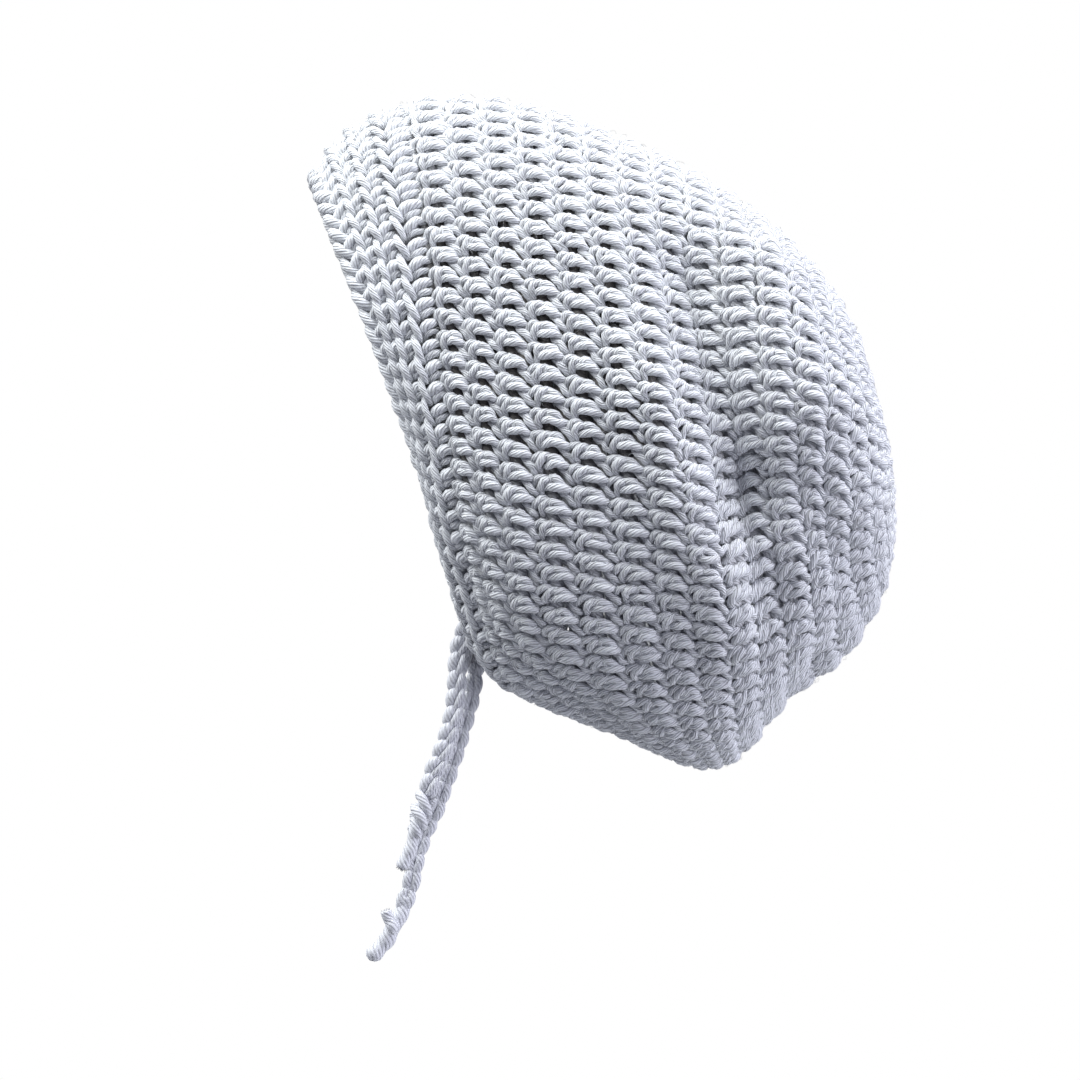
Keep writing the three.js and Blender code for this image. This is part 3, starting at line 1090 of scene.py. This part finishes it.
KNOT = (
    # upper wrap
    Strand(((0.12, -0.7, -0.5), (0.06, -0.86, 0.05), (0.12, -0.5, 0.7), (0.28, 0.26, 0.9),
            (0.42, 0.8, 0.5), (0.46, 0.84, -0.2)), thick=1.15, ends=0.85, segments=14, sides=10),
    # middle wrap
    Strand(((0.46, -0.7, -0.6), (0.38, -0.9, 0.0), (0.42, -0.62, 0.66), (0.58, 0.1, 1.0),
            (0.74, 0.76, 0.6), (0.8, 0.8, -0.1)), thick=1.25, ends=0.85, segments=14, sides=10),
    # lower wrap
    Strand(((0.8, -0.2, -0.6), (0.72, -0.6, -0.1), (0.76, -0.5, 0.5), (0.9, 0.06, 0.8),
            (1.04, 0.42, 0.4), (1.06, 0.3, -0.3)), thick=1.05, ends=0.7, segments=14, sides=10),
    # wrap across the back
    Strand(((0.1, 0.75, 0.3), (0.2, 0.75, -0.5), (0.4, 0.1, -0.9), (0.6, -0.65, -0.6),
            (0.62, -0.8, 0.1)), thick=1.15, ends=0.85, segments=12, sides=10),
    # lower wrap across the back
    Strand(((0.46, 0.8, 0.2), (0.56, 0.7, -0.5), (0.74, 0.1, -0.85), (0.9, -0.45, -0.6),
            (0.92, -0.65, 0.0)), thick=1.1, ends=0.8, segments=12, sides=10),
)


@dataclass(frozen=True)
class DrawstringRoutes:
    """Where the drawstring's two ends leave the band and hang, by the same points as its solids.

    The points are in millimetres from the place where the front end leaves, or, for the tail, from
    the knot's lower end.
    """

    # where the front end leaves, as a place along the fabric and degrees about a round
    front_exit: Pair = (-0.044, 130)
    back_exit: Pair = (-0.058, 137)  # where the back end leaves
    under: float = 0.0002  # how far under the band's outside they start
    stretch: float = 0.0054  # length of their first straight stretch
    knot_length: float = 0.023
    lead: float = 3.6  # how far up the band their stitches start, in degrees
    front: tuple[Triple, ...] = (
        (-7.3, 0, -8.4), (-8.4, -2, -18.5), (-9.5, -3.5, -36.4), (-14, -4.5, -57.7),
        (-21.3, -5, -75.6), (-24.6, -5.2, -86.8),
    )
    # points of the cut end below the knot
    tail: tuple[Triple, ...] = ((0, 0, 0), (-3.3, 0.1, -10.1), (-7.3, 0.4, -20.2))
    back: tuple[Triple, ...] = (
        (2.8, 10.5, -21.9), (1.7, 9, -32), (-1.7, 8, -44.3), (-6.7, 7.5, -61.6), (-13.4, 7.3, -81.2),
        (-19.6, 7.4, -96.9), (-25.7, 7.4, -110.4), (-30.2, 7, -123.2), (-32.5, 6.6, -135.6),
        (-36.9, 6, -148.4), (-43.7, 5.2, -162.4), (-50.4, 4.6, -172.5), (-56.5, 4, -179.2),
    )
    # points of the short yarn beside the back end's tip
    stub: tuple[Triple, ...] = (
        (-43.7, -2.6, -161.9), (-45.3, -2.8, -156.3), (-47.6, -3.2, -151.2),
    )

    def _by(self, form: BagForm, exit_: Pair,
            *places: Pair) -> Array:
        """Points by an exit.

        Args:
            form: The bag's form.
            exit_: The exit.
            places: Degrees up from it and depth under the outside, for each point.

        Returns:
            The points.
        """
        reach, degrees = exit_
        return np.array([
            form.folded(np.array([math.radians(degrees - back)]), np.array([reach]), below)[0]
            for back, below in places
        ])

    def leave(self, form: BagForm, exit_: Pair) -> Array:
        """The two points by which an end leaves the band."""
        return self._by(form, exit_, (0, self.under), (0, self.under - self.stretch))

    def above(self, form: BagForm, exit_: Pair) -> Array:
        """Two points up the band's outside, from which an end's stitches come down."""
        return self._by(form, exit_, (self.lead, 0.0), (self.lead / 3, -self.stretch * 0.7))

    def lines(self, form: BagForm) -> dict[str, Array]:
        """The points of each line in metres.

        Args:
            form: The bag's form.

        Returns:
            Points by name: front, knot, tail, back and stub.
        """
        start = self.leave(form, self.front_exit)
        front = np.vstack([start, start[0] + np.array(self.front) * MM])
        ahead = unit(front[-1] - front[-2])
        below = front[-1] + ahead * self.knot_length
        back = np.vstack([self.leave(form, self.back_exit), start[0] + np.array(self.back) * MM])
        return {
            "front": front,
            "knot": np.array([front[-1], below]),
            "tail": below + np.array(self.tail) * MM,
            "back": back,
            "stub": start[0] + np.array(self.stub) * MM,
        }


@dataclass
class Drawstring:
    """The drawstring's two hanging ends."""

    form: BagForm
    routes: DrawstringRoutes
    material: Material
    yarn: float = 0.0048
    knot_yarn: float = 0.0045
    thickness: float = 0.009
    # how far each end's stitches lie beside its route at the top
    aside: Pair = (0.001, -0.0012)
    front_stitch: float = 0.0095
    back_stitch: float = 0.0105
    chained: float = 0.154  # where the back end's chain ends on its route
    lay: float = 0.018  # length of yarn for one turn of its twist
    # length of the stitch on the band from which each end hangs
    join: Pair = (0.0105, 0.0078)
    cut_end: WoundEnd = WoundEnd(0.004, (0.0054, 0.0076), 0.009, 0.003, 0.0062, 30)
    folded_tip: WoundEnd = WoundEnd(0.006, (0.0084, 0.0092), 0.0085, 0.004)
    short_yarn: WoundEnd = WoundEnd(0.0, (0.0056, 0.0064), 0.006, 0.001, 0.005, 16)
    seed: int = 5

    def build(self) -> None:
        """Makes both ends."""
        rng = np.random.default_rng(self.seed)
        lines = self.routes.lines(self.form)
        self._front(lines, rng)
        self._back(lines, rng)

    def _top(self, chain: Chain, strands: tuple[Strand, ...], length: float, name: str) -> None:
        """Makes the stitch on the band from which an end hangs, as a piece of its own.

        Args:
            chain: The end's chain.
            strands: The strands of the stitch.
            length: Its length.
            name: The piece's name.
        """
        mesh = YarnMesh(self.lay)
        chain.lay(mesh, strands, 0.0, length, 1)
        dress(mesh.make(name), self.material, Slot.BAND, "rim_band")

    def _declare(self, route: Route) -> None:
        """Takes points along a hanging end's route; nothing uses them.

        Args:
            route: The line that it hangs along.
        """
        path = [list(point) for point in route.fine[::12]] + [list(route.fine[-1])]

    def _front(self, lines: dict[str, Array], rng: np.random.Generator) -> None:
        """Makes the front end with its knot.

        Args:
            lines: The points of each line.
            rng: Draws the small differences between stitches.
        """
        whole = np.vstack([lines["front"], lines["knot"][1:], lines["tail"][1:]])
        above = self.routes.above(self.form, self.routes.front_exit)
        route = Route(np.vstack([above, whole[2:]]))
        knotted = route.length - Route(lines["tail"]).length - self.routes.knot_length
        chain = Chain(route, self.yarn, rng, self.aside[0])
        self._top(chain, FRONT_TOP, self.join[0], "front_chain_top")
        mesh = YarnMesh(self.lay)
        count = round((knotted - self.join[0]) / self.front_stitch)
        chain.lay(mesh, FRONT_CHAIN, self.join[0], knotted, count)
        chain.wind(mesh, knotted, self.cut_end)
        cord = dress(mesh.make("front_chain"), self.material, Slot.CORD,
                     "drawstring_front", "drawstring_tail")
        mesh = YarnMesh(self.lay)
        Chain(Route(lines["knot"]), self.knot_yarn, rng).lay(
            mesh, KNOT, 0.0, self.routes.knot_length, 1)
        knot = dress(mesh.make("chain_knot"), self.material, Slot.CORD, "drawstring_knot")
        self._declare(Route(whole))

    def _back(self, lines: dict[str, Array], rng: np.random.Generator) -> None:
        """Makes the back end with the short yarn beside its tip.

        Args:
            lines: The points of each line.
            rng: Draws the small differences between stitches.
        """
        above = self.routes.above(self.form, self.routes.back_exit)
        route = Route(np.vstack([above, lines["back"][2:]]))
        chain = Chain(route, self.yarn, rng, self.aside[1])
        self._top(chain, BACK_CHAIN, self.join[1], "back_chain_top")
        mesh = YarnMesh(self.lay)
        count = round((self.chained - self.join[1]) / self.back_stitch)
        chain.lay(mesh, BACK_CHAIN, self.join[1], self.chained, count)
        chain.wind(mesh, self.chained, self.folded_tip)
        cord = dress(mesh.make("back_chain"), self.material, Slot.CORD, "drawstring_back")
        mesh = YarnMesh(self.lay)
        root = route.fine[np.argmin(np.linalg.norm(route.fine - lines["stub"][0], axis=1))]
        stub_route = Route(np.vstack([root, lines["stub"]]))
        Chain(stub_route, self.yarn, rng).wind(mesh, 0.0, self.short_yarn)
        stub = dress(mesh.make("yarn_stub"), self.material, Slot.CORD, "drawstring_stub")
        self._declare(Route(lines["back"]))


@dataclass(frozen=True)
class Lamp:
    """A soft square lamp."""

    name: str
    place: Triple
    size: float
    power: float  # its power in watts
    colour: Triple = (0.97, 1.0, 1.0)

    def add(self, towards: Triple) -> None:
        """Adds it to the scene.

        Args:
            towards: The point that it faces.
        """
        data = bpy.data.lights.new(self.name, "AREA")
        data.size = self.size
        data.energy = self.power
        data.color = self.colour
        lamp = bpy.data.objects.new(self.name, data)
        lamp.location = self.place
        ahead = Vector(towards) - Vector(self.place)
        lamp.rotation_euler = ahead.to_track_quat("-Z", "Y").to_euler()
        bpy.context.scene.collection.objects.link(lamp)


@dataclass(frozen=True)
class Studio:
    """The camera, lights and floor."""

    middle: Triple = (0.0448, 0.0, -0.2402)  # the point that the camera looks at
    frame_width: float = 0.6048  # width of the photograph at the object
    lens: float = 250.0  # focal length in millimetres
    sensor: float = 36.0  # width of the camera's sensor in millimetres
    floor_height: float = -1.5
    floor_radius: float = 0.9
    floor_grey: float = 0.6  # how light the floor is
    even_light: Triple = (0.76, 0.79, 1.0)  # colour of the light from all round
    even_strength: float = 0.17  # its strength
    lamps: tuple[Lamp, ...] = (
        Lamp("key", (-1.8, -0.4, 1.6), 2.4, 96),
        Lamp("top", (0.3, -0.4, 2.2), 2.2, 78),
        Lamp("fill", (2.2, -0.7, 0.1), 2.0, 56, (0.88, 0.89, 1.0)),
        Lamp("back", (0.4, 2.4, 0.5), 2.2, 46, (0.92, 0.95, 1.0)),
    )

    def camera(self) -> None:
        """Adds the camera."""
        data = bpy.data.cameras.new("camera")
        data.lens = self.lens
        data.sensor_width = self.sensor
        camera = bpy.data.objects.new("camera", data)
        bpy.context.scene.collection.objects.link(camera)
        distance = self.frame_width * self.lens / self.sensor
        camera.location = Vector(self.middle) - Vector((0, distance, 0))
        camera.rotation_euler = (math.pi / 2, 0, 0)
        data.clip_end = 100
        bpy.context.scene.camera = camera

    def floor(self) -> None:
        """Adds the floor."""
        bpy.ops.mesh.primitive_circle_add(vertices=96, radius=self.floor_radius, fill_type="NGON",
                                          location=(self.middle[0], 0, self.floor_height))
        floor = bpy.context.active_object
        floor.name = "floor"
        shader = Shader("pale_floor")
        grey = self.floor_grey
        shader.fix(Base_Color=(grey, grey, grey, 1), Roughness=0.9)
        floor.data.materials.append(shader.material)

    def world(self) -> None:
        """Sets the even light from all round."""
        world = bpy.data.worlds.new("studio")
        world.use_nodes = True
        bpy.context.scene.world = world
        tree = world.node_tree
        back = tree.nodes["Background"]
        back.inputs["Color"].default_value = (*self.even_light, 1)
        back.inputs["Strength"].default_value = self.even_strength
        white = tree.nodes.new("ShaderNodeBackground")
        white.inputs["Color"].default_value = (1, 1, 1, 1)
        seen = tree.nodes.new("ShaderNodeLightPath")
        mix = tree.nodes.new("ShaderNodeMixShader")
        tree.links.new(seen.outputs["Is Camera Ray"], mix.inputs[0])
        tree.links.new(back.outputs[0], mix.inputs[1])
        tree.links.new(white.outputs[0], mix.inputs[2])
        tree.links.new(mix.outputs[0], tree.nodes["World Output"].inputs["Surface"])

    def build(self) -> None:
        """Adds the camera, the lights and the floor."""
        bpy.context.scene.view_settings.view_transform = "Standard"
        self.camera()
        self.floor()
        self.world()
        for lamp in self.lamps:
            lamp.add(self.middle)


def main() -> None:
    """Builds the tam in its studio."""
    logging.basicConfig(level=logging.INFO, format="%(message)s")
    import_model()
    bpy.ops.object.select_all(action="DESELECT")
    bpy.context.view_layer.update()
    Studio().build()
    form = BagForm()
    Drawstring(form, DrawstringRoutes(), CORD_YARN.make()).build()
    fabric = Fabric(form)
    material = YARN.make()
    for part in (Bag(fabric), Fuzz(fabric), Band(fabric)):
        part.build(material)


if __name__ == "__main__":
    main()
